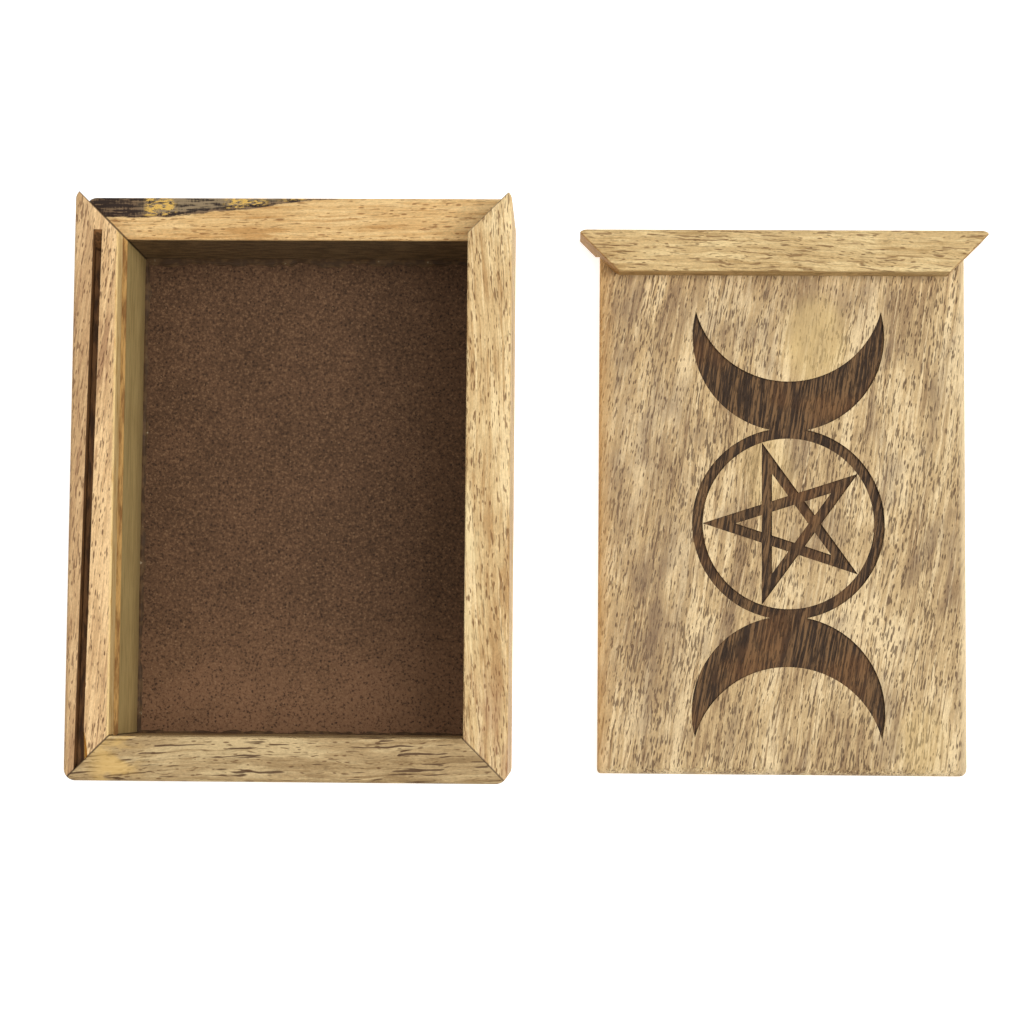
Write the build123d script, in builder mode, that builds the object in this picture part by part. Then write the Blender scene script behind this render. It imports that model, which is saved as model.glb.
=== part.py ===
from build123d import *
import math
import os

# A wooden box for a deck of cards: a mitred tray with a lid that slides in grooves.
# The lid is drawn off the tray and lying beside it, turned the way it goes in.
# Millimetres. +X points to the lid, +Y to the low front wall, and +Z up.
# The origin is the centre of the tray's underside.

# Tray
tray_width = 114.0
tray_length = 154.0
tray_height = 45.0
wall_thickness = 11.5
front_height = 32.0
corner_radius = 3.0
top_ease = 1.0
inner_ease = 0.5
foot_ease = 0.6

# Grooves for the lid and rabbet for the base
groove_height = 6.5
side_groove_depth = 5.0
rear_groove_depth = 6.0
base_thickness = 3.5
base_rabbet = 5.0
base_gap = 0.15

# Card slot sawn at a slight slant in the left wall's top
slot_width = 2.3
slot_depth = 5.0
slot_ramp = 5.0
slot_front_margin = 11.0
slot_front_inset = 6.1
slot_rear_inset = 3.8

# Splinter torn out of the slot's inner edge, from the rear mitre forwards
chip_length = 8.6
chip_width = 1.3
chip_drop = 2.2
chip_clearance = 0.3

# Lid
lid_thickness = 5.8
lid_side_gap = 0.5
lid_end_gap = 0.5
lid_rabbet = 6.0
rail_mitre_gap = 0.35
rail_left_wear = 3.0
rail_right_wear = 0.8
rear_edge_radius = 2.6
left_edge_radius = 1.0
right_edge_radius = 1.8
lid_shift_x = 130.3
lid_shift_y = -4.4

# Carving in the lid: a ringed five-pointed star between two crescents
carving_depth = 0.9
carving_offset_x = 1.7
moon_radius = 26.2
ring_band = 2.9
star_radius = 23.4
star_stroke = 2.8
crescent_centre = 51.4
crescent_bite = 13.8
star_points = 5
star_heading = 180

# Brads
corner_brad_radius = 0.6
corner_brad_length = 19.0
front_brad_heights = (9.0, 24.0)
rear_brad_heights = (10.0, 26.0)
brad_sink = 0.3
base_brad_radius = 0.6
base_brad_length = 12.5
base_brad_head_radius = 1.5
base_brad_head_height = 0.6
base_brad_sink = 0.1
base_brad_side_spacing = 50.0
base_brad_end_offset = 25.0
rail_brad_radius = 0.5
rail_brad_length = 14.0
rail_brad_x = (-36.0, 0.0, 36.0)

# Places worked out from these
half_width = tray_width / 2
half_length = tray_length / 2
inner_half_width = half_width - wall_thickness
inner_half_length = half_length - wall_thickness
rail_height = tray_height - front_height
panel_rear = -(inner_half_length + rear_groove_depth - lid_end_gap)
panel_front = inner_half_length + lid_rabbet
panel_half_width = inner_half_width + side_groove_depth - lid_side_gap

# Corners of the plan, as signs of x and y
front_left = (-1, 1)
front_right = (1, 1)
rear_left = (-1, -1)
rear_right = (1, -1)

floor_plane = Plane.XY
lid_plane = Plane((lid_shift_x, lid_shift_y, 0))


def corner(signs, inset=0.0, side_gap=0.0):
    """A corner of the tray's outline in plan, moved inwards by inset."""
    x = signs[0] * (half_width - inset - side_gap)
    y = signs[1] * (half_length - inset)
    return (x, y)


def mitred_plan(base, start, end, side_gap=0.0):
    """Plan of the board between two corners, mitred at both, with its outside corners rounded."""
    with BuildSketch(base) as plan:
        RectangleRounded(tray_width - 2 * side_gap, tray_length, corner_radius)
        with BuildLine():
            outer_line = [corner(start, 0, side_gap), corner(end, 0, side_gap)]
            inner_line = [
                corner(end, wall_thickness, side_gap),
                corner(start, wall_thickness, side_gap),
            ]
            Polyline(*outer_line, *inner_line, close=True)
        make_face(mode=Mode.INTERSECT)
    return plan.sketch


def rim_edges(board, level, axis, place):
    """Edges of the top (level -1) or bottom (level 0) that lie within a corner radius of place."""
    edges = board.edges().group_by(Axis.Z)[level]
    return edges.filter_by_position(axis, place - corner_radius, place + corner_radius)


def cut_lid_grooves():
    """Cuts the space that the lid slides into, open at the front."""
    rear = -(inner_half_length + rear_groove_depth)
    length = half_length - rear
    with BuildSketch(Plane.XY.offset(front_height)) as grooves:
        with Locations((0, rear + length / 2)):
            Rectangle(2 * (inner_half_width + side_groove_depth), length)
    extrude(grooves.sketch, amount=groove_height, mode=Mode.SUBTRACT)


def cut_base_rabbet():
    """Cuts the step that the base panel sits in."""
    with BuildSketch(Plane.XY) as step:
        Rectangle(2 * (inner_half_width + base_rabbet), 2 * (inner_half_length + base_rabbet))
    extrude(step.sketch, amount=base_thickness, mode=Mode.SUBTRACT)


def corner_brad_places(sign_x):
    """Outer ends of the brads driven through one side wall into the end walls."""
    x = sign_x * (half_width - brad_sink)
    y = half_length - wall_thickness / 2
    front = [(x, y, z) for z in front_brad_heights]
    rear = [(x, -y, z) for z in rear_brad_heights]
    return front + rear


def corner_brad_shafts(sink, mode):
    """Shafts of the corner brads, made longer outwards by sink to make their holes."""
    length = corner_brad_length + sink
    for sign_x in (-1, 1):
        for x, y, z in corner_brad_places(sign_x):
            with BuildSketch(Plane((x + sign_x * sink, y, z), z_dir=(-sign_x, 0, 0))) as end:
                Circle(corner_brad_radius)
            extrude(end.sketch, amount=length, mode=mode)


def base_brad_places():
    """Centres of the brads that hold the base, in plan."""
    x = inner_half_width + base_rabbet / 2
    y = inner_half_length + base_rabbet / 2
    side_steps = [step * base_brad_side_spacing for step in (-1, 0, 1)]
    end_steps = [step * base_brad_end_offset for step in (-1, 1)]
    along_sides = [(side * x, step) for side in (-1, 1) for step in side_steps]
    along_ends = [(step, end * y) for end in (-1, 1) for step in end_steps]
    return along_sides + along_ends


def base_brads_shape(foot, mode):
    """Shafts and flat heads of the brads driven up through the base, from the height foot."""
    top = base_brad_sink + base_brad_length
    head_top = base_brad_sink + base_brad_head_height
    for radius, height in ((base_brad_radius, top), (base_brad_head_radius, head_top)):
        with BuildSketch(Plane.XY.offset(foot)) as ends:
            with Locations(*base_brad_places()):
                Circle(radius)
        extrude(ends.sketch, amount=height - foot, mode=mode)


def rail_brad_shafts(sink, mode):
    """Shafts of the brads driven through the rail into the end of the panel."""
    length = rail_brad_length + sink
    for x in rail_brad_x:
        place = (lid_shift_x + x, lid_shift_y + half_length - brad_sink + sink, lid_thickness / 2)
        with BuildSketch(Plane(place, z_dir=(0, -1, 0))) as end:
            Circle(rail_brad_radius)
        extrude(end.sketch, amount=length, mode=mode)


def tear_slot_edge(slot_x):
    """Cuts a shallow scoop out of the slot's inner edge, deepest at the rear mitre.

    At the mitre the scoop takes chip_width off the wall's top and chip_drop off the slot's side,
    and it runs out forwards. It stays on the slot's inner side.
    """
    slope = math.hypot(chip_width, chip_drop)
    depth = chip_width * chip_drop / slope
    top = depth + chip_clearance
    mitre_y = -half_length + half_width + slot_x
    across = Vector(chip_width, 0, chip_drop) / slope
    outwards = Vector(-chip_drop, 0, chip_width) / slope
    deepest = Vector(slot_x, mitre_y, tray_height) - outwards * depth
    with BuildSketch(Plane(deepest, x_dir=(0, 1, 0), z_dir=across)) as scoop:
        with BuildLine():
            ThreePointArc((-chip_length, depth), (0, 0), (chip_length, depth))
            Polyline((chip_length, depth), (chip_length, top), (-chip_length, top), (-chip_length, depth))
        make_face()
    extrude(scoop.sketch, amount=slope, both=True, mode=Mode.SUBTRACT)


def polar(radius, degrees):
    """A point in plan at a distance and an angle from the carving's centre."""
    return (radius * math.cos(math.radians(degrees)), radius * math.sin(math.radians(degrees)))


def finish(part, name):
    """Labels a finished piece and writes it."""
    part.label = name
    export_step(part, f"parts/{name}.step")


os.makedirs("parts", exist_ok=True)

# Left wall, with the card slot
with BuildPart() as left_wall:
    extrude(mitred_plan(floor_plane, rear_left, front_left), amount=tray_height)
    fillet(rim_edges(left_wall, -1, Axis.X, -half_width), top_ease)
    fillet(rim_edges(left_wall, 0, Axis.X, -half_width), foot_ease)
    fillet(rim_edges(left_wall, -1, Axis.X, -inner_half_width), inner_ease)
    cut_lid_grooves()
    cut_base_rabbet()
    slot_front = Vector(-half_width + slot_front_inset, half_length - slot_front_margin, tray_height)
    slot_rear = Vector(-half_width + slot_rear_inset, -half_length, tray_height)
    slot_run = slot_rear - slot_front
    slot_plane = Plane(slot_front, x_dir=slot_run, z_dir=(slot_run.Y, -slot_run.X, 0))
    with BuildSketch(slot_plane):
        with BuildLine():
            Polyline(
                (0, 0),
                (slot_ramp, -slot_depth),
                (slot_run.length, -slot_depth),
                (slot_run.length, slot_depth),
                (0, slot_depth),
                close=True,
            )
        make_face()
    extrude(amount=slot_width / 2, both=True, mode=Mode.SUBTRACT)
    tear_slot_edge(slot_rear.X + slot_width / 2)
    corner_brad_shafts(brad_sink, Mode.SUBTRACT)
    base_brads_shape(0, Mode.SUBTRACT)
finish(left_wall.part, "left_wall")

# Right wall
with BuildPart() as right_wall:
    extrude(mitred_plan(floor_plane, front_right, rear_right), amount=tray_height)
    fillet(rim_edges(right_wall, -1, Axis.X, half_width), top_ease)
    fillet(rim_edges(right_wall, 0, Axis.X, half_width), foot_ease)
    fillet(rim_edges(right_wall, -1, Axis.X, inner_half_width), inner_ease)
    cut_lid_grooves()
    cut_base_rabbet()
    corner_brad_shafts(brad_sink, Mode.SUBTRACT)
    base_brads_shape(0, Mode.SUBTRACT)
finish(right_wall.part, "right_wall")

# Rear wall, grooved like the sides but deeper
with BuildPart() as rear_wall:
    extrude(mitred_plan(floor_plane, rear_right, rear_left), amount=tray_height)
    fillet(rim_edges(rear_wall, -1, Axis.Y, -half_length), top_ease)
    fillet(rim_edges(rear_wall, 0, Axis.Y, -half_length), foot_ease)
    fillet(rim_edges(rear_wall, -1, Axis.Y, -inner_half_length), inner_ease)
    cut_lid_grooves()
    cut_base_rabbet()
    corner_brad_shafts(brad_sink, Mode.SUBTRACT)
    base_brads_shape(0, Mode.SUBTRACT)
finish(rear_wall.part, "rear_wall")

# Front wall, lower by the height of the lid's rail
with BuildPart() as front_wall:
    extrude(mitred_plan(floor_plane, front_left, front_right), amount=front_height)
    fillet(rim_edges(front_wall, -1, Axis.Y, half_length), top_ease)
    fillet(rim_edges(front_wall, 0, Axis.Y, half_length), foot_ease)
    fillet(rim_edges(front_wall, -1, Axis.Y, inner_half_length), inner_ease)
    cut_base_rabbet()
    corner_brad_shafts(brad_sink, Mode.SUBTRACT)
    base_brads_shape(0, Mode.SUBTRACT)
finish(front_wall.part, "front_wall")

# Base panel of hardboard, flush with the walls' undersides
with BuildPart() as base_panel:
    with BuildSketch(floor_plane):
        Rectangle(
            2 * (inner_half_width + base_rabbet - base_gap),
            2 * (inner_half_length + base_rabbet - base_gap),
        )
    extrude(amount=base_thickness)
    base_brads_shape(0, Mode.SUBTRACT)
finish(base_panel.part, "base_panel")

# Lid panel, with three rounded edges and the carving
with BuildPart() as lid_panel:
    with BuildSketch(lid_plane):
        with Locations((0, (panel_front + panel_rear) / 2)):
            Rectangle(2 * panel_half_width, panel_front - panel_rear)
    extrude(amount=lid_thickness)
    top_rims = lid_panel.faces().sort_by(Axis.Z)[-1].edges()
    fillet(top_rims.sort_by(Axis.Y)[0], rear_edge_radius)
    top_rims = lid_panel.faces().sort_by(Axis.Z)[-1].edges()
    fillet(top_rims.sort_by(Axis.X)[0], left_edge_radius)
    top_rims = lid_panel.faces().sort_by(Axis.Z)[-1].edges()
    fillet(top_rims.sort_by(Axis.X)[-1], right_edge_radius)
    carving_x = lid_shift_x + carving_offset_x
    carving_y = lid_shift_y + (inner_half_length + panel_rear) / 2
    with BuildSketch(Plane((carving_x, carving_y, lid_thickness))):
        step = 360 / star_points
        chord = star_radius * math.cos(math.radians(step))
        notch_radius = chord / math.cos(math.radians(step / 2))
        arm_half_angle = step / 4
        hole_apex = star_radius - star_stroke / math.sin(math.radians(arm_half_angle))
        hole_half_base = (hole_apex - chord) * math.tan(math.radians(arm_half_angle))
        with BuildLine():
            outline = []
            for arm in range(star_points):
                outline.append(polar(star_radius, star_heading + arm * step))
                outline.append(polar(notch_radius, star_heading + (arm + 0.5) * step))
            Polyline(*outline, close=True)
        make_face()
        core_radius = (chord - star_stroke) / math.cos(math.radians(step / 2))
        RegularPolygon(core_radius, star_points, mode=Mode.SUBTRACT)
        base_radius = math.hypot(chord, hole_half_base)
        base_angle = math.degrees(math.atan2(hole_half_base, chord))
        for arm in range(star_points):
            middle = star_heading + arm * step
            with BuildLine():
                hole = [
                    polar(hole_apex, middle),
                    polar(base_radius, middle + base_angle),
                    polar(base_radius, middle - base_angle),
                ]
                Polyline(*hole, close=True)
            make_face(mode=Mode.SUBTRACT)
        with BuildSketch(mode=Mode.ADD):
            Circle(moon_radius)
            Circle(moon_radius - ring_band, mode=Mode.SUBTRACT)
        for end in (-1, 1):
            with BuildSketch(mode=Mode.ADD):
                with Locations((0, end * crescent_centre)):
                    Circle(moon_radius)
                with Locations((0, end * (crescent_centre + crescent_bite))):
                    Circle(moon_radius, mode=Mode.SUBTRACT)
    extrude(amount=-carving_depth, mode=Mode.SUBTRACT)
    rail_brad_shafts(0, Mode.SUBTRACT)
finish(lid_panel.part, "lid_panel")

# Lid rail, rabbeted over the front end of the panel, mitred to meet the side walls, worn inside
with BuildPart() as lid_rail:
    extrude(mitred_plan(lid_plane, front_left, front_right, rail_mitre_gap), amount=rail_height)
    inner_corners = lid_rail.edges().filter_by(Axis.Z).group_by(Axis.Y)[0].sort_by(Axis.X)
    fillet(inner_corners[0], rail_left_wear)
    fillet(inner_corners[-1], rail_right_wear)
    fillet(rim_edges(lid_rail, -1, Axis.Y, lid_shift_y + half_length), top_ease)
    fillet(rim_edges(lid_rail, -1, Axis.Y, lid_shift_y + inner_half_length), inner_ease)
    with BuildSketch(lid_plane):
        with Locations((0, inner_half_length + lid_rabbet / 2)):
            Rectangle(tray_width, lid_rabbet)
    extrude(amount=lid_thickness, mode=Mode.SUBTRACT)
    rail_brad_shafts(brad_sink, Mode.SUBTRACT)
finish(lid_rail.part, "lid_rail")

# Brads that pin the four mitred corners
with BuildPart() as corner_brads:
    corner_brad_shafts(0, Mode.ADD)
finish(corner_brads.part, "corner_brads")

# Brads that hold the base in its rabbet
with BuildPart() as base_brads:
    base_brads_shape(base_brad_sink, Mode.ADD)
finish(base_brads.part, "base_brads")

# Brads that pin the rail to the lid panel
with BuildPart() as rail_brads:
    rail_brad_shafts(0, Mode.ADD)
finish(rail_brads.part, "rail_brads")
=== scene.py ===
# %% [markdown]
# # A mitred wooden box for a boxed deck of cards
# The box is a tray of four planed boards round a thin hardboard base, and a lid that slides in
# grooves and is carved with a ringed star between two crescents. It lies open, with the lid beside
# the tray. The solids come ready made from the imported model, so this lesson is about finishes:
# how to turn plain boards into light, pored hardwood, a burnt carving, a speckled hardboard and
# squeezed-out glue. The work goes board by board, because no two boards in a real box match.

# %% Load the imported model
import math

import bpy
import numpy as np
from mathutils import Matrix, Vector


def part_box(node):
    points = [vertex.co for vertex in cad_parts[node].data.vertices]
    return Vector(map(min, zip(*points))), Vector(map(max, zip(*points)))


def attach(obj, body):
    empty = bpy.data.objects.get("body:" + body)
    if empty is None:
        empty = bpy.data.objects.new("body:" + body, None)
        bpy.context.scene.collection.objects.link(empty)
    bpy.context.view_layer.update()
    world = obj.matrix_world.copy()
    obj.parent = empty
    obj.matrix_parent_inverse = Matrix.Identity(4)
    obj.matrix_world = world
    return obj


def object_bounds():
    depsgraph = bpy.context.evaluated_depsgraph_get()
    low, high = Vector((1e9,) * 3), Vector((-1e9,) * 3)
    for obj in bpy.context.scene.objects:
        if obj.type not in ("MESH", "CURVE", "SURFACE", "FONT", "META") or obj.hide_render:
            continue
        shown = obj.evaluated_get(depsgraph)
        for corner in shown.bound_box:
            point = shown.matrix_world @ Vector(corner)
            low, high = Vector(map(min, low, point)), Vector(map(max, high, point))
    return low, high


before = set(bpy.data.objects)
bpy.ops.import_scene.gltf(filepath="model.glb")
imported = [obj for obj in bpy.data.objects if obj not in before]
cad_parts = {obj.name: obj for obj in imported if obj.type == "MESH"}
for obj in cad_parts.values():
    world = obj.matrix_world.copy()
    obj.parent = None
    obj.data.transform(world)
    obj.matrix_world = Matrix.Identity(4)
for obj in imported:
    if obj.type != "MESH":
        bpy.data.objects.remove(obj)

cad_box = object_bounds()
print("nodes", sorted(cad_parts))
print("whole object, metres", [[round(v, 4) for v in end] for end in cad_box])

# %% [markdown]
# ## Measure the box first
# Every mark on the boards sits somewhere: a stain along one edge, a dark line down a mitre, burnt
# wood inside the carving. Those places are taken from the boxes of the loaded nodes, in
# millimetres, so they follow the model if its size changes.

# %% Sizes in millimetres, read from the nodes
MM = 0.001


def box_mm(node):
    """Lowest and highest corner of a node, in millimetres."""
    low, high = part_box(node)
    return low / MM, high / MM


left_low, left_high = box_mm("left_wall")
_, right_high = box_mm("right_wall")
_, front_high = box_mm("front_wall")
_, base_high = box_mm("base_panel")
panel_low, panel_high = box_mm("lid_panel")
rail_low, rail_high = box_mm("lid_rail")

half_width = right_high.x
half_length = front_high.y
wall = left_high.x - left_low.x
inner_x = half_width - wall
inner_y = half_length - wall
tray_top = left_high.z
front_top = front_high.z
floor_top = base_high.z
panel_top = panel_high.z
lid_x = (rail_low.x + rail_high.x) / 2
lid_y = rail_high.y - half_length
print(f"tray {2 * half_width:.0f} x {2 * half_length:.0f} x {tray_top:.0f} mm, walls {wall:.1f} mm")
print(f"lid centred at {lid_x:.1f}, {lid_y:.1f} mm, panel {panel_top:.1f} mm thick")

# %% [markdown]
# ## Write shader maths as sums
# A wood finish is mostly arithmetic: a bit more brown where a pore is, less where the board is
# worn. Wiring Math nodes by hand hides that arithmetic. So one small class wraps a socket and
# answers to plus, minus, times, divided-by, less-than and more-than.

# %% A socket that does arithmetic
class Wire:
    """One value in a material. Arithmetic on it adds a Math node and gives another Wire."""

    def __init__(self, finish, socket):
        self.finish = finish
        self.socket = socket

    def sum_with(self, operation, first, second):
        """A Math node on two values, each a Wire or a number."""
        return self.finish.add("Math", {"operation": operation}, {0: first, 1: second})

    def __add__(self, other):
        return self.sum_with("ADD", self, other)

    def __radd__(self, other):
        return self.sum_with("ADD", other, self)

    def __sub__(self, other):
        return self.sum_with("SUBTRACT", self, other)

    def __rsub__(self, other):
        return self.sum_with("SUBTRACT", other, self)

    def __mul__(self, other):
        return self.sum_with("MULTIPLY", self, other)

    def __rmul__(self, other):
        return self.sum_with("MULTIPLY", other, self)

    def __truediv__(self, other):
        return self.sum_with("DIVIDE", self, other)

    def __lt__(self, other):
        return self.sum_with("LESS_THAN", self, other)

    def __gt__(self, other):
        return self.sum_with("GREATER_THAN", self, other)

    def __abs__(self):
        return self.sum_with("ABSOLUTE", self, 0)

    def low(self, other):
        """The lower of two values."""
        return self.sum_with("MINIMUM", self, other)

    def high(self, other):
        """The higher of two values."""
        return self.sum_with("MAXIMUM", self, other)

    def fade(self, start, end):
        """0 at start and 1 at end, with a soft step between; start may be the larger."""
        span = {"Value": self, "From Min": start, "From Max": end}
        return self.finish.add("MapRange", {"interpolation_type": "SMOOTHSTEP"}, span)

    def output(self, name):
        """Another output of the node that this value comes from."""
        return Wire(self.finish, self.socket.node.outputs[name])


# %% [markdown]
# ## One method adds every node
# The method takes the node's type, then its settings, then what goes into its sockets. Settings
# come first because some of them, such as a Mix node's data type, change which sockets there are.
# Colours and directions stay out of the Math nodes: a Mix or a Vector Math node keeps all three
# of their numbers.

# %% A material that nodes are added to
class Finish:
    """A material and the nodes added to it so far."""

    def __init__(self, name):
        self.material = bpy.data.materials.new(name)
        self.material.use_nodes = True
        self.tree = self.material.node_tree
        self.tree.nodes.clear()
        place = self.add("TexCoord", output="Object")
        self.mm = self.add("VectorMath", {"operation": "SCALE"}, {0: place, "Scale": 1 / MM})
        self.x, self.y, self.z = self.split(self.mm)

    def add(self, kind, settings=None, feeds=None, output=0):
        """Adds a node, makes its settings, feeds its sockets, and gives one of its outputs."""
        node = self.tree.nodes.new("ShaderNode" + kind)
        for name, value in (settings or {}).items():
            setattr(node, name, value)
        for name, value in (feeds or {}).items():
            if isinstance(value, Wire):
                self.tree.links.new(value.socket, node.inputs[name])
            else:
                node.inputs[name].default_value = value
        return Wire(self, node.outputs[output])

    def split(self, vector):
        """The three numbers of a vector or colour."""
        x = self.add("SeparateXYZ", feeds={0: vector})
        return x, x.output("Y"), x.output("Z")

    def mix(self, under, over, share):
        """A share of one colour laid over another."""
        return self.add("Mix", {"data_type": "RGBA"}, {0: share, 6: under, 7: over}, output=2)

    def vector(self, operation, first, second):
        """Vector Math on two vectors."""
        return self.add("VectorMath", {"operation": operation}, {0: first, 1: second})

    def brighten(self, colour, light):
        """A colour times a value that changes over the surface."""
        return self.add("VectorMath", {"operation": "SCALE"}, {0: colour, "Scale": light})

    def cloud(self, place, size, detail=2.0, roughness=0.5, output="Fac"):
        """A soft random value from 0 to 1, in lumps of the given size in millimetres."""
        settings = {"noise_dimensions": "3D"}
        feeds = {"Scale": 1.0, "Detail": detail, "Roughness": roughness}
        feeds["Vector"] = self.vector("DIVIDE", place, size)
        return self.add("TexNoise", settings, feeds, output)

    def cells(self, place, size):
        """Distance to the nearest of many scattered points, in cells of the given size."""
        settings = {"voronoi_dimensions": "3D", "feature": "F1"}
        feeds = {"Scale": 1.0, "Randomness": 1.0}
        feeds["Vector"] = self.vector("DIVIDE", place, size)
        return self.add("TexVoronoi", settings, feeds, "Distance")

    def surface(self, colour, roughness, relief=None, depth=0.0, **constants):
        """Ends the material with a shader. Relief is a height from 0 to 1, depth its millimetres."""
        feeds = {"Base Color": colour, "Roughness": roughness}
        feeds.update({name.replace("_", " "): value for name, value in constants.items()})
        if relief is not None:
            bump = {"Height": relief, "Strength": 1.0, "Distance": depth * MM}
            feeds["Normal"] = self.add("Bump", feeds=bump)
        shader = self.add("BsdfPrincipled", feeds=feeds)
        self.add_output(shader)
        return self.material

    def add_output(self, shader):
        """The Material Output node, which has no output of its own."""
        node = self.tree.nodes.new("ShaderNodeOutputMaterial")
        self.tree.links.new(shader.socket, node.inputs["Surface"])


def shade(red, green, blue):
    """A colour as picked on a screen, 0 to 255, as the linear colour that a shader takes."""
    levels = np.array([red, green, blue]) / 255
    linear = np.where(levels <= 0.04045, levels / 12.92, ((levels + 0.055) / 1.055) ** 2.4)
    return (*(float(v) for v in linear), 1.0)


print("mid brown", [round(v, 3) for v in shade(150, 120, 85)])

# %% [markdown]
# ## Wood, seen closely
# The boards are a light tropical hardwood. Four things make it look like itself. Broad patches
# drift between pale yellow and grey-brown. Thin streaks run along the grain. Open pores, cut
# lengthwise by the plane, show as short dark dashes a few tenths of a millimetre wide. And fine
# fibres give the surface its silk. A photograph wrapped round the board would show the same dashes
# on the end grain; a solid pattern in three dimensions shows dots there, as sawn wood does. So all
# four are worked out in a space whose first number runs along the grain.

# %% Coordinates along the grain
def along_grain(finish, degrees, offset, wander=1.6, wriggle=0.35):
    """Millimetres along, across and through the grain.

    The point's place is turned about Z by the grain's own angle from X and moved by offset, so
    that no two boards are cut from the same spot. Then slow noise pushes it sideways, up to
    wander millimetres, and quicker noise adds a smaller wriggle, as growth does.
    """
    feeds = {"Vector": finish.mm, "Rotation": (0, 0, -math.radians(degrees)), "Location": offset}
    grain = finish.add("Mapping", feeds=feeds)
    for size, most in (((70, 16, 16), wander), ((9, 4, 4), wriggle)):
        drift = finish.cloud(grain, size, detail=1.5, output="Color")
        centred = finish.vector("SUBTRACT", drift, (0.5, 0.5, 0.5))
        push = finish.vector("MULTIPLY", centred, (0, 2 * most, 2 * most))
        grain = finish.vector("ADD", grain, push)
    return grain


def pores(finish, grain, length, width, reach, share):
    """Dark dashes: 1 inside a pore and 0 outside.

    Space is divided into cells much longer than they are wide, each with one scattered point. A
    pore is the round region near a point, which the stretched cell turns into a thin dash.
    A cell's own random colour says whether it holds a pore and how large, so share can be a
    value that changes over the board.
    """
    distance = finish.cells(grain, (length, width, width))
    luck, size, _ = finish.split(distance.output("Color"))
    edge = reach * (0.55 + 0.75 * size)
    return distance.fade(edge, edge * 0.45) * (luck < share)


# %% [markdown]
# ## One function for any board
# Each board passes its own colours and amounts, and gets back a colour and a height. The board
# goes from broad to fine: patches, streaks, pores, fibres. The pores come out darker and lower
# than the wood round them, and each board's own marks are laid over the result afterwards. Bare
# wood scatters light inside its fibres and hardly mirrors the sky, so every board gets a specular
# level well under the usual 0.5; with more, a bluish veil washes out the dark pores.

# %% Colour and relief of a planed board
def board(finish, grain, look):
    """The colour of bare planed wood, its height from 0 to 1, and where its pores are."""
    patch = finish.cloud(grain, (34, 11, 11), detail=3, roughness=0.6)
    streak = finish.cloud(grain, (26, 1.7, 1.7), detail=6, roughness=0.72)
    tone = 0.48 * patch + 0.52 * streak
    colour = finish.mix(look["dusk"], look["mid"], tone.fade(0.40, 0.48))
    colour = finish.mix(colour, look["pale"], tone.fade(0.50, 0.57))
    hair = finish.cloud(grain, (30, 0.75, 0.75), detail=3, roughness=0.6)
    colour = finish.mix(colour, look["pale"], hair.fade(0.54, 0.66) * 0.75)
    colour = finish.mix(colour, look["dusk"], hair.fade(0.45, 0.33) * 0.85)
    crowd = finish.cloud(grain, (30, 7, 7), detail=2).fade(0.34, 0.66)
    crowd = crowd * look["crowding"] + look["least_pores"]
    limit = 0.67 - 0.11 * crowd
    worn_pores = finish.cloud(grain, (3.4, 0.45, 0.45), detail=1.0).fade(limit, limit + 0.06)
    small = pores(finish, grain, 2.8, 0.75, 0.30, 0.20 + 0.75 * crowd)
    large = pores(finish, grain, 5.6, 1.1, 0.23, 0.15 + 0.75 * crowd)
    dashes = (worn_pores * 0.85).high(small).high(large)
    colour = finish.mix(colour, look["pore"], dashes * look["pore_strength"])
    fibre = finish.cloud(grain, (4, 0.42, 0.42), detail=4, roughness=0.75)
    silk = finish.cloud(grain, (0.9, 0.45, 0.45), detail=2, roughness=0.7)
    light = 0.28 + 0.78 * fibre + 0.72 * silk
    colour = finish.brighten(colour, light)
    relief = 0.55 + 0.4 * fibre + 0.15 * silk - 0.6 * dashes
    return colour, relief, dashes


def near_mitre(finish, sign_x, sign_y):
    """Millimetres from the slanting plane where two boards meet at a corner of the tray."""
    across = finish.x * (sign_x / math.sqrt(2))
    along = finish.y * (sign_y / math.sqrt(2))
    return abs(across - along + (half_length - half_width) / math.sqrt(2))


def wear(node, material):
    """Puts a finish on a node and prints what it holds."""
    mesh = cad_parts[node].data
    mesh.materials.clear()
    mesh.materials.append(material)
    print(f"{node}: {material.name}, {len(material.node_tree.nodes)} nodes")


seam_brown = shade(58, 40, 24)
matt = {"Specular_IOR_Level": 0.2}
print("mitre lines", [round(v, 3) for v in seam_brown], "and specular", matt)

# %% [markdown]
# ## The left wall
# A pinkish tan board with its grain along the box. A narrow slot is sawn in its top; the saw
# left it brown, and painted shade makes it darker still. Inside, the upper part is yellow, the
# cutter tore the groove brown, and below it the face is smooth and olive. The three bands are told
# apart by height.

# %% Left wall
left = Finish("left_wall_wood")
left_grain = along_grain(left, 84, (13, 5, 2))
left_look = {
    "pale": shade(239, 201, 148),
    "mid": shade(213, 174, 124),
    "dusk": shade(178, 138, 98),
    "pore": shade(108, 74, 48),
    "crowding": 0.55,
    "least_pores": 0.25,
    "pore_strength": 0.85,
}
left_colour, left_relief, _ = board(left, left_grain, left_look)
groove_height = 6.5
groove_depth = 5.0
lip_z = front_top + groove_height
inside = left.x.fade(-inner_x - 0.9, -inner_x - 0.1).high(left.z < lip_z + 0.1)
inside = inside * (left.x > -inner_x - groove_depth - 0.5)
torn = left.cloud(left.mm, (1.6, 11, 1.0), detail=4, roughness=0.65)
gold = left.mix(shade(240, 206, 142), shade(206, 160, 92), torn.fade(0.45, 0.65))
cut = left.mix(shade(222, 172, 98), shade(150, 102, 52), torn.fade(0.40, 0.62))
olive = left.mix(shade(204, 178, 118), shade(176, 150, 96), torn.fade(0.40, 0.65))
# Painted shade: the olive lower face is darkened towards the floor, where shade falls inside the
# tray.
olive = left.mix(olive, shade(138, 114, 74), left.z.fade(16, 3) * 0.7)
face = left.mix(gold, cut, left.z.fade(lip_z + 0.6, lip_z - 0.4))
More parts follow.
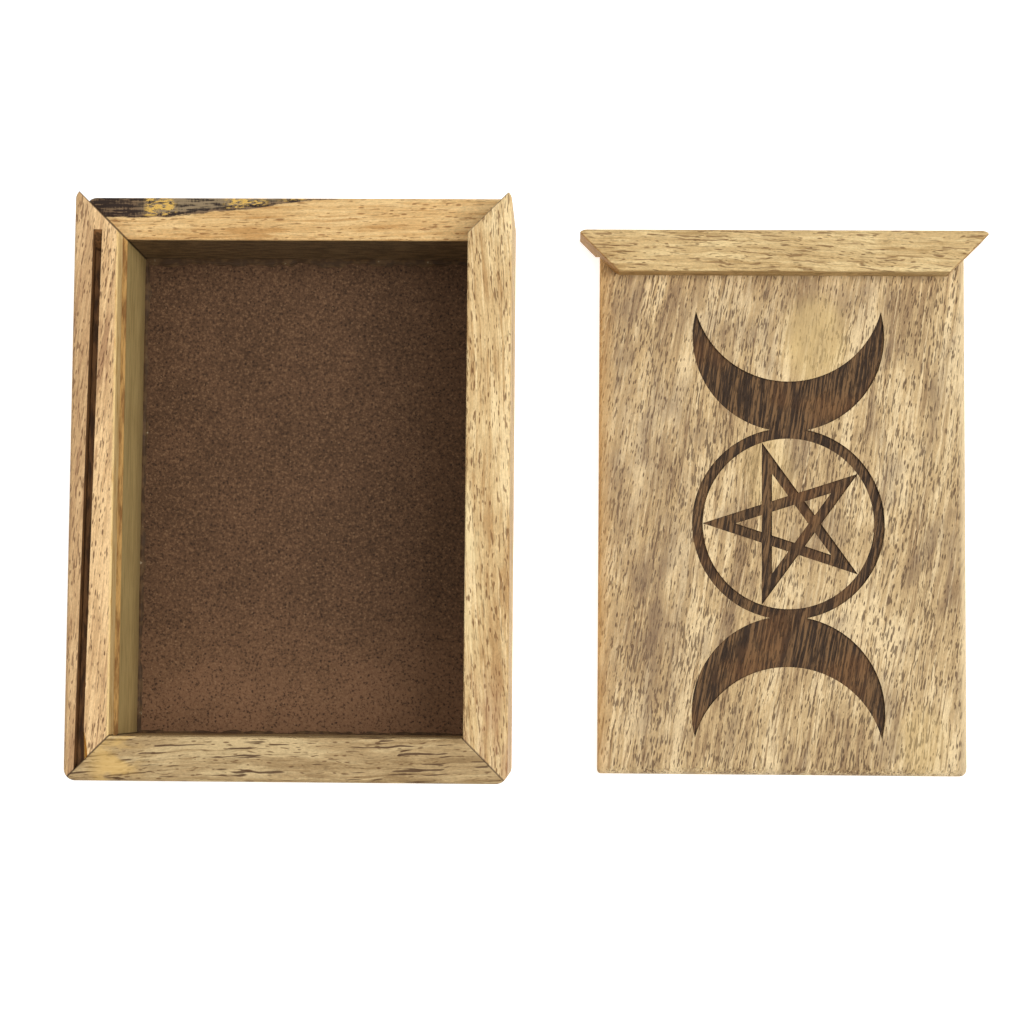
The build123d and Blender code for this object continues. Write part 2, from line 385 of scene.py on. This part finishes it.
face = left.mix(face, olive, left.z.fade(front_top + 0.4, front_top - 1.2))
left_colour = left.mix(left_colour, face, inside)

# %% [markdown]
# ## The slot and its splinter
# The slot is sawn at a slight slant, so its marks are placed by the distance from its slanting
# middle line: brown saw marks within it, darkened further as painted shade of its depth, and fresh
# orange wood on the scoop beside its rear end, where a splinter came away, painted brighter than its
# own colour as painted light, since the scoop faces away from the lamps. The strip outside the slot
# is a little browner. The mitres get a thin dark line where dust has settled in the joint.

# %% Slot and splinter in the left wall
slot_half = 1.15
slot_depth = 5.0
slot_rear_inset = 3.8
slot_front_inset = 6.1
slot_front_margin = 11.0
slot_length = 2 * half_length - slot_front_margin
slot_slant = (slot_front_inset - slot_rear_inset) / slot_length
slot_middle_rear = -half_width + slot_rear_inset
from_slot = left.x - slot_middle_rear - (left.y + half_length) * slot_slant
skin = 0.03
below_top = left.z < tray_top - 0.12
in_slot = (left.z > tray_top - slot_depth - 0.2) * below_top * (abs(from_slot) < slot_half + skin)
sawn = left.cloud(left.mm, (1.2, 7, 0.8), detail=3)
# Painted shade: the slot's saw-mark brown is darker than the wood, for the shade in its depth.
slot_brown_and_shade = left.mix(shade(150, 106, 64), shade(94, 66, 40), sawn.fade(0.38, 0.62))
left_colour = left.mix(left_colour, slot_brown_and_shade, in_slot)
chip_width = 1.6
chip_drop = 3.0
chip_length = 14.0
in_chip = (from_slot > slot_half + skin) * (from_slot < slot_half + chip_width)
in_chip = in_chip * (left.z < tray_top - skin) * (left.z > tray_top - chip_drop)
in_chip = in_chip * (left.y < -half_length + chip_length)
# Painted light: the scoop's fresh orange is made brighter than the wood, as if lit, though it faces
# away from the lamps.
orange = left.mix(shade(255, 206, 112), shade(250, 168, 72), sawn.fade(0.36, 0.60))
left_colour = left.mix(left_colour, orange, in_chip)
outer_strip = (from_slot < -slot_half) * (left.z > tray_top - 1.2)
left_colour = left.mix(left_colour, shade(146, 108, 76), outer_strip * 0.28)
joint = near_mitre(left, -1, -1).fade(0.32, 0.12) + near_mitre(left, -1, 1).fade(0.32, 0.12)
left_colour = left.mix(left_colour, seam_brown, joint * 0.8)
wear("left_wall", left.surface(left_colour, 0.62, left_relief, 0.10, **matt))

# %% [markdown]
# ## The right wall
# Yellow-tan, with the same grain direction and short pores that swirl, because the grain is curly.
# A rusty brown cloud lies near its rear end, and a pale one halfway along its inner side.

# %% Right wall
right = Finish("right_wall_wood")
right_grain = along_grain(right, 93, (61, 27, 9), wander=3.0)
right_look = {
    "pale": shade(237, 209, 158),
    "mid": shade(213, 181, 129),
    "dusk": shade(184, 146, 96),
    "pore": shade(116, 78, 42),
    "crowding": 0.6,
    "least_pores": 0.25,
    "pore_strength": 0.85,
}
right_colour, right_relief, _ = board(right, right_grain, right_look)
drifting = right.cloud(right_grain, (16, 5, 5), detail=4, roughness=0.65)
rusty = right.y.fade(-40, -62) * drifting.fade(0.36, 0.60)
right_colour = right.mix(right_colour, shade(164, 118, 84), rusty * 0.5)
sappy = abs(right.y + 22).fade(30, 8) * right.x.fade(half_width - 5, half_width - 9)
right_colour = right.mix(right_colour, shade(240, 216, 162), sappy * drifting.fade(0.40, 0.56) * 0.6)
joint = near_mitre(right, 1, -1).fade(0.32, 0.12) + near_mitre(right, 1, 1).fade(0.32, 0.12)
right_colour = right.mix(right_colour, seam_brown, joint * 0.6)
wear("right_wall", right.surface(right_colour, 0.62, right_relief, 0.10, **matt))

# %% [markdown]
# ## The rear wall
# Grey-beige, cut across a knotty stretch: long dark lines wander along it and break off.

# %% Rear wall
rear = Finish("rear_wall_wood")
rear_grain = along_grain(rear, 2, (7, 41, 3), wander=2.6, wriggle=0.7)
rear_look = {
    "pale": shade(200, 174, 128),
    "mid": shade(176, 148, 105),
    "dusk": shade(150, 122, 82),
    "pore": shade(112, 82, 52),
    "crowding": 0.2,
    "least_pores": 0.05,
    "pore_strength": 0.85,
}
rear_colour, rear_relief, _ = board(rear, rear_grain, rear_look)
knots = rear.cloud(rear.mm, (26, 9, 9), detail=2).fade(0.38, 0.60)
line_limit = 0.66 - 0.085 * knots
lines = rear.cloud(rear_grain, (17, 0.8, 0.8), detail=1.5).fade(line_limit, line_limit + 0.035)
rear_colour = rear.mix(rear_colour, shade(82, 56, 34), lines * 0.9)
amber = abs(rear.x + 44).fade(9, 1.8) * (rear.z > tray_top - 3)
amber = amber * rear.cloud(rear.mm, (9, 5, 5), detail=4).fade(0.40, 0.58)
rear_colour = rear.mix(rear_colour, shade(232, 190, 112), amber * 0.6)
joint = near_mitre(rear, -1, -1).fade(0.30, 0.12) + near_mitre(rear, 1, -1).fade(0.30, 0.12)
rear_colour = rear.mix(rear_colour, seam_brown, joint * 0.8)
wear("rear_wall", rear.surface(rear_colour, 0.62, rear_relief, 0.10, **matt))

# %% [markdown]
# ## The front wall and its bark
# Orange-tan. The board was sawn from near the outside of the log, and a strip of dark bark stain
# was left along the outer half of its top at the left, with yellow-gold flecks of fresh wood in
# it. The stain is a mask: how near the outer edge, and how far left, each with a ragged limit.

# %% Front wall
front = Finish("front_wall_wood")
front_grain = along_grain(front, 1, (33, 12, 21))
front_look = {
    "pale": shade(229, 193, 135),
    "mid": shade(215, 175, 116),
    "dusk": shade(192, 146, 88),
    "pore": shade(140, 92, 48),
    "crowding": 0.4,
    "least_pores": 0.12,
    "pore_strength": 0.75,
}
front_colour, front_relief, _ = board(front, front_grain, front_look)
ragged = front.cloud(front.mm, (7, 2.5, 2.5), detail=5, roughness=0.65) - 0.5
outer = front.y - half_length
bark_edge = -3.7 * front.x.fade(16, -26) - 1.8 * front.x.fade(-16, -42)
bark = (outer - bark_edge + 2.6 * ragged).fade(-0.2, 0.25)
bark = bark * (front.z + 9 * ragged > front_top - 6)
bark = bark * front.x.fade(16, 7)
char = front.cloud(front.mm, (6, 0.8, 2), detail=4, roughness=0.6)
tick = front.cloud(front.mm, (0.45, 2.4, 1), detail=2)
char = 0.78 * char + 0.22 * tick
bark_brown = front.mix(shade(126, 102, 76), shade(47, 34, 28), char.fade(0.45, 0.54))
burnt_end = front.x.fade(-38, -46) * char.fade(0.40, 0.50)
bark_brown = front.mix(bark_brown, shade(52, 38, 30), burnt_end * 0.8)
dusty = front.x.fade(-44, -38) * (outer - bark_edge).fade(0.6, 1.6)
bark_brown = front.mix(bark_brown, shade(150, 131, 101), dusty * char.fade(0.62, 0.46) * 0.8)
fleck = front.cloud(front.mm, (1.7, 0.6, 0.6), detail=4, roughness=0.7).fade(0.485, 0.54)
left_cluster = abs(front.x + 37).fade(5, 3)
middle_cluster = abs(front.x + 14).fade(7, 3.5)
right_cluster = abs(front.x - 2).fade(9, 3)
clusters = left_cluster + middle_cluster + right_cluster
fleck = fleck * clusters * (outer - bark_edge + ragged).fade(0.2, 0.9)
bark_brown = front.mix(bark_brown, shade(222, 180, 92), fleck)
front_colour = front.mix(front_colour, bark_brown, bark)
# Painted shade: the front wall's inner face, which faces away from the lamps, gets a darker olive
# colour, mottled by the bark's cloud.
inner_face = (front.y < inner_y + 0.25) * front.z.fade(front_top + 0.1, front_top - 0.6)
painted_shade_olive = front.mix(shade(144, 120, 88), shade(104, 86, 62), char.fade(0.4, 0.6))
front_colour = front.mix(front_colour, painted_shade_olive, inner_face)
joint = near_mitre(front, -1, 1).fade(0.40, 0.15) + near_mitre(front, 1, 1).fade(0.25, 0.1)
front_colour = front.mix(front_colour, seam_brown, joint * 0.8)
wear("front_wall", front.surface(front_colour, 0.62, front_relief, 0.10, **matt))

# %% [markdown]
# ## The hardboard base
# Hardboard is pressed wood pulp: a red-brown mat of short chips, with darker and lighter specks
# and no grain. Two sizes of specks over a faintly blotchy brown do it, with a rough, lumpy face,
# and painted light makes the brown brighter towards the rear wall.

# %% Hardboard
mat = Finish("hardboard")
blotch = mat.cloud(mat.mm, (14, 14, 14), detail=4, roughness=0.6)
mat_colour = mat.mix(shade(93, 67, 47), shade(85, 61, 42), blotch.fade(0.35, 0.65))
# Painted light: the floor's colour gets brighter towards the rear wall, as if more light falls
# there.
mat_colour = mat.brighten(mat_colour, 1.04 + 0.75 * mat.y.fade(-inner_y + 45, -inner_y))
pulp = mat.cloud(mat.mm, (0.75, 0.75, 0.75), detail=4, roughness=0.75)
mat_colour = mat.mix(mat_colour, shade(50, 34, 22), pulp.fade(0.52, 0.64) * 0.8)
mat_colour = mat.mix(mat_colour, shade(132, 100, 72), pulp.fade(0.47, 0.37) * 0.65)
chip = mat.cells(mat.mm, (1.1, 1.1, 1.1))
chip_luck, _, _ = mat.split(chip.output("Color"))
dark_chip = chip.fade(0.34, 0.16) * (chip_luck < 0.30)
pale_chip = chip.fade(0.30, 0.14) * (chip_luck > 0.80)
mat_colour = mat.mix(mat_colour, shade(42, 28, 19), dark_chip * 0.75)
mat_colour = mat.mix(mat_colour, shade(146, 114, 84), pale_chip * 0.5)
mat_relief = 0.6 * pulp + 0.4 * blotch - 0.25 * dark_chip + 0.2 * pale_chip
wear("base_panel", mat.surface(mat_colour, 0.8, mat_relief, 0.14, **matt))

# %% [markdown]
# ## The lid panel and its burnt carving
# The lid is the showpiece: a grey-tan board with dense dashes that lean a little to the right,
# purple-grey clouds, pale yellow patches, and the carving, cut by burning, dark brown and still
# showing the grain. The carved floor is lower than the face, so height alone picks it out,
# inside a rectangle that leaves out the panel's rounded edges.

# %% Lid panel
lid = Finish("lid_panel_wood")
lid_grain = along_grain(lid, 81, (17, 3, 14), wander=2.2)
lid_look = {
    "pale": shade(230, 204, 158),
    "mid": shade(197, 168, 122),
    "dusk": shade(158, 129, 92),
    "pore": shade(92, 68, 48),
    "crowding": 0.75,
    "least_pores": 0.30,
    "pore_strength": 0.9,
}
lid_colour, lid_relief, lid_dashes = board(lid, lid_grain, lid_look)
cloudy = lid.cloud(lid_grain, (22, 10, 10), detail=3, roughness=0.6).fade(0.50, 0.68)
lid_colour = lid.mix(lid_colour, shade(126, 104, 84), cloudy * 0.42)


def spot(finish, x, y, along, across):
    """1 at a place on the lid and 0 beyond an ellipse round it, in millimetres from its centre."""
    run = (finish.y - (lid_y + y)) / along
    side = (finish.x - (lid_x + x)) / across
    return (run * run + side * side).fade(1.0, 0.15)


uneven = lid.cloud(lid_grain, (16, 5, 5), detail=4, roughness=0.65).fade(0.30, 0.62)
gloom = spot(lid, -36, -6, 80, 16).high(spot(lid, -8, 56, 12, 52)) * uneven
lid_colour = lid.mix(lid_colour, shade(128, 104, 82), gloom * 0.42)
under_rail = spot(lid, 9, 47, 16, 11)
in_ring = spot(lid, -4, 12, 14, 9)
rear_corner = spot(lid, 38, -62, 12, 9)
yellow = under_rail + in_ring * 0.6 + rear_corner * 0.6
yellow = yellow * (0.4 + lid.cloud(lid_grain, (9, 3, 3), detail=3))
lid_colour = lid.mix(lid_colour, shade(226, 196, 132), yellow.low(1) * 0.5)
left_edge = lid.x.fade(panel_low.x + 5, panel_low.x + 0.2)
lid_colour = lid.mix(lid_colour, shade(190, 146, 88), left_edge * 0.5)
right_edge = lid.x.fade(panel_high.x - 2.4, panel_high.x - 0.6)
lid_colour = lid.mix(lid_colour, shade(232, 208, 164), right_edge * 0.7)
carving_x = lid_x + 1.7
carving_y = lid_y - 2.75
half_across = 28.5
half_along = 61.0
beside = abs(lid.x - carving_x) < half_across
between = abs(lid.y - carving_y) < half_along
burnt = (lid.z < panel_top - 0.12) * (lid.z > panel_top - 1.2) * beside * between
scorch = lid.cloud(lid_grain, (14, 0.7, 0.7), detail=4, roughness=0.65)
ember = lid.cloud(lid.mm, (16, 16, 16), detail=2)
burnt_brown = lid.mix(shade(122, 91, 58), shade(52, 35, 20), scorch.fade(0.40, 0.56))
burnt_brown = lid.mix(burnt_brown, shade(124, 82, 44), ember.fade(0.5, 0.7) * 0.35)
burnt_brown = lid.mix(burnt_brown, shade(42, 29, 18), lid_dashes * 0.6)
lid_colour = lid.mix(lid_colour, burnt_brown, burnt)
wear("lid_panel", lid.surface(lid_colour, 0.62, lid_relief, 0.12, **matt))

# %% [markdown]
# ## The lid's rail
# A strip of the same stock as the rear wall, lighter, with long thin brown lines along it. Its
# mitred ends show end grain.

# %% Lid rail
rail = Finish("lid_rail_wood")
rail_grain = along_grain(rail, -2, (81, 19, 30), wander=2.2, wriggle=0.8)
rail_look = {
    "pale": shade(222, 195, 142),
    "mid": shade(202, 172, 120),
    "dusk": shade(174, 142, 92),
    "pore": shade(118, 86, 52),
    "crowding": 0.2,
    "least_pores": 0.05,
    "pore_strength": 0.85,
}
rail_colour, rail_relief, _ = board(rail, rail_grain, rail_look)
lines = rail.cloud(rail_grain, (8, 0.62, 0.62), detail=2.5).fade(0.585, 0.635)
rail_colour = rail.mix(rail_colour, shade(122, 88, 52), lines * 0.7)
end_grain = abs(abs(rail.x - lid_x) - (rail.y - lid_y) + (half_length - half_width)) < 0.8
rail_colour = rail.mix(rail_colour, shade(150, 108, 62), end_grain * 0.6)
wear("lid_rail", rail.surface(rail_colour, 0.62, rail_relief, 0.10, **matt))

# %% [markdown]
# ## The brads
# Fine wire nails, hardly seen: only their sunk ends show at the corners, and the heads of the ten
# that hold the base on the underside. Drawn steel wire shines unevenly where it has tarnished, so
# one soft cloud drives its colour, its roughness and a very shallow relief.

# %% Steel wire
steel = Finish("brad_steel")
tarnish = steel.cloud(steel.mm, (0.6, 0.6, 0.6), detail=3)
steel_colour = steel.mix(shade(176, 172, 166), shade(120, 112, 102), tarnish.fade(0.4, 0.7))
steel_rough = 0.32 + 0.3 * tarnish
wire_steel = steel.surface(steel_colour, steel_rough, tarnish, 0.02, Metallic=1.0)
for brads in ("corner_brads", "base_brads", "rail_brads"):
    wear(brads, wire_steel)

# %% [markdown]
# ## Squeezed-out glue
# Glue was run round the base and squeezed out along the floor's edges, where it dried as a thin
# brown skin with a raised, wavy rim. Each bead is a profile carried along one edge: it starts a
# little way up the wall, runs down to the floor and swells at its rim. Its width and height waver
# as it goes, as the sum of a few waves.

# %% A bead of glue as a surface
glue_random = np.random.default_rng(7)


def waver(steps, low, high, waves):
    """A run of values between low and high: a sum of sines with random starts, scaled to fit."""
    along = np.linspace(0, 1, steps)
    pitches = glue_random.uniform(0.5, 1.0, waves) * np.arange(2, waves + 2) * 2.1
    starts = glue_random.uniform(0, 2 * np.pi, waves)
    heights = 1 / np.sqrt(np.arange(1, waves + 1))
    total = (heights * np.sin(2 * np.pi * pitches * along[:, None] + starts)).sum(axis=1)
    total = (total - total.min()) / (total.max() - total.min())
    return low + (high - low) * total


def glue_bead(name, start, end, inwards, width, height, steps=360):
    """A closed skin of glue along a straight edge of the floor.

    The upper side is z = climb * (1 - t) squared + rim * bell(t - rim_place), where t runs from 0
    at the wall to 1 at the glue's own edge. The skin is sunk a little into the wall and the floor,
    so that no gap shows. It thins out towards both ends, which are closed.
    """
    sunk = 0.15
    film = 0.02
    rim_place, rim_spread = 0.84, 0.13
    thinning_steps = 6
    path = np.linspace(start, end, steps)
    reach = waver(steps, width[0], width[1], 16)[:, None]
    climb = waver(steps, height[0], height[1], 9)[:, None]
    rim = waver(steps, 0.10, 0.34, 13)[:, None]
    t = np.linspace(0, 1, 15)[None, :]
    from_end = np.minimum(np.arange(steps), np.arange(steps)[::-1])
    ends = np.clip(from_end / thinning_steps, 0.02, 1)[:, None]
    rise = climb * (1 - t) ** 2 + rim * np.exp(-(((t - rim_place) / rim_spread) ** 2))
    rise = rise * ends * (1 - t**8) + film
    run = reach * t - sunk
    under = np.full_like(rise, -sunk)
    out = np.concatenate([run, run[:, ::-1]], axis=1)
    up = np.concatenate([rise, under], axis=1)
    inwards = np.array(inwards, float)
    points = path[:, None, :2] + out[:, :, None] * inwards
    points = np.concatenate([points, (floor_top + up)[:, :, None]], axis=2)
    return closed_tube(name, points * MM)


def closed_tube(name, rings_of_points):
    """A mesh from rings of points: quads between neighbouring rings and a face at each end."""
    count, around = rings_of_points.shape[:2]
    index = np.arange(count * around).reshape(count, around)
    here, there = index[:-1], index[1:]
    quads = np.stack([here, there, np.roll(there, -1, 1), np.roll(here, -1, 1)], axis=-1)
    faces = quads.reshape(-1, 4).tolist() + [index[0].tolist(), index[-1, ::-1].tolist()]
    mesh = bpy.data.meshes.new(name)
    mesh.from_pydata(rings_of_points.reshape(-1, 3).tolist(), [], faces)
    mesh.shade_smooth()
    made = bpy.data.objects.new(name, mesh)
    bpy.context.scene.collection.objects.link(made)
    return made


# %% [markdown]
# ## The glue's finish, and four beads of it
# Dried glue is brown and a little smoother than the wood, with pale flecks painted on as glints of
# light. The flecks are the highest values of a soft cloud. One bead runs along each edge of the
# floor.

# %% Glue finish
glue = Finish("dried_glue")
mottle_and_glints = glue.cloud(glue.mm, (2.2, 2.2, 2.2), detail=3)
glue_colour = glue.mix(shade(72, 52, 33), shade(96, 72, 46), mottle_and_glints.fade(0.42, 0.62))
# Painted highlight: pale flecks mixed into the colour stand for glints on the glue's shine.
glue_colour = glue.mix(glue_colour, shade(190, 176, 144), mottle_and_glints.fade(0.68, 0.75) * 0.5)
glue_skin = glue.surface(glue_colour, 0.5 + 0.3 * mottle_and_glints, mottle_and_glints, 0.05, **matt)

beads = {
    "glue_left": ((-inner_x, inner_y), (-inner_x, -inner_y), (1, 0), (0.6, 1.9), (0.5, 1.4)),
    "glue_front": ((inner_x, inner_y), (-inner_x, inner_y), (0, -1), (1.0, 2.6), (0.4, 1.0)),
    "glue_right": ((inner_x, -inner_y), (inner_x, inner_y), (-1, 0), (0.5, 1.6), (0.4, 1.2)),
    "glue_rear": ((-inner_x, -inner_y), (inner_x, -inner_y), (0, 1), (0.4, 1.3), (0.3, 0.9)),
}
for name, (start, end, inwards, width, height) in beads.items():
    bead = glue_bead(name, (*start, 0), (*end, 0), inwards, width, height)
    bead.data.materials.append(glue_skin)
    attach(bead, "tray")
    print(name, len(bead.data.polygons), "faces")

# %% [markdown]
# ## The stage
# A pale floor, like a sheet of paper. It shines a little by itself, so that it stays almost white
# and only the contact shadows show.

# %% Floor
floor_mesh = bpy.data.meshes.new("floor")
floor_half = 15.0
floor_signs = [(-1, -1), (1, -1), (1, 1), (-1, 1)]
floor_corners = [(x * floor_half, y * floor_half, 0) for x, y in floor_signs]
floor_mesh.from_pydata(floor_corners, [], [(0, 1, 2, 3)])
floor = bpy.data.objects.new("floor", floor_mesh)
floor_gap = 0.0002
floor.location.z = -floor_gap
bpy.context.scene.collection.objects.link(floor)
paper = Finish("floor_paper")
paper_tone = paper.cloud(paper.mm, (400, 400, 400), detail=1)
paper_colour = paper.mix((0.90, 0.90, 0.89, 1), (0.93, 0.93, 0.92, 1), paper_tone)
glow = {"Emission_Color": (1.0, 1.0, 1.0, 1.0), "Emission_Strength": 0.60}
floor_mesh.materials.append(paper.surface(paper_colour, 0.9, **glow))
print("floor", 2 * floor_half, "metres across")

# %% [markdown]
# ## Soft light
# A large lamp high on the right gives the tray's inner faces their direction. A larger one nearly
# overhead and a weak even sky fill the shadows. Lamps of this size make soft-edged shadows, as
# a cloth-covered studio lamp does.

# %% Lights
world = bpy.data.worlds.new("studio")
bpy.context.scene.world = world
world.use_nodes = True
sky = world.node_tree.nodes["Background"]
sky.inputs["Color"].default_value = (1.0, 0.99, 0.97, 1)
sky.inputs["Strength"].default_value = 0.26


def soft_lamp(name, place, aim, size, power):
    """A square lamp at place, turned to shine at aim; all in metres and watts."""
    lamp = bpy.data.lights.new(name, "AREA")
    lamp.size = size
    lamp.energy = power
    made = bpy.data.objects.new(name, lamp)
    made.location = place
    made.rotation_euler = (Vector(aim) - Vector(place)).to_track_quat("-Z", "Y").to_euler()
    bpy.context.scene.collection.objects.link(made)
    return made


middle = (cad_box[0] + cad_box[1]) / 2
soft_lamp("key", middle + Vector((0.60, 0.04, 1.08)), middle, 0.7, 9.7)
soft_lamp("top", middle + Vector((-0.15, 0.10, 1.2)), middle, 0.9, 5.1)
print("lamps aim at", [round(v, 3) for v in middle])

# %% [markdown]
# ## The camera
# It looks almost straight down from 0.66 m, a little to the right of the tray, with a short
# telephoto lens, so the tray's left inner face shows and its right one doesn't.

# %% Camera
camera_data = bpy.data.cameras.new("camera")
camera_data.lens = 85.1
camera_data.sensor_width = 36.0
camera = bpy.data.objects.new("camera", camera_data)
camera.location = (0.0730, -0.0527, 0.6657)
camera.rotation_euler = (0.0732, 0.0242, 0.0081)
bpy.context.scene.collection.objects.link(camera)
bpy.context.scene.camera = camera
bpy.context.scene.view_settings.view_transform = "Standard"
print("camera at", tuple(round(v, 3) for v in camera.location), "metres")
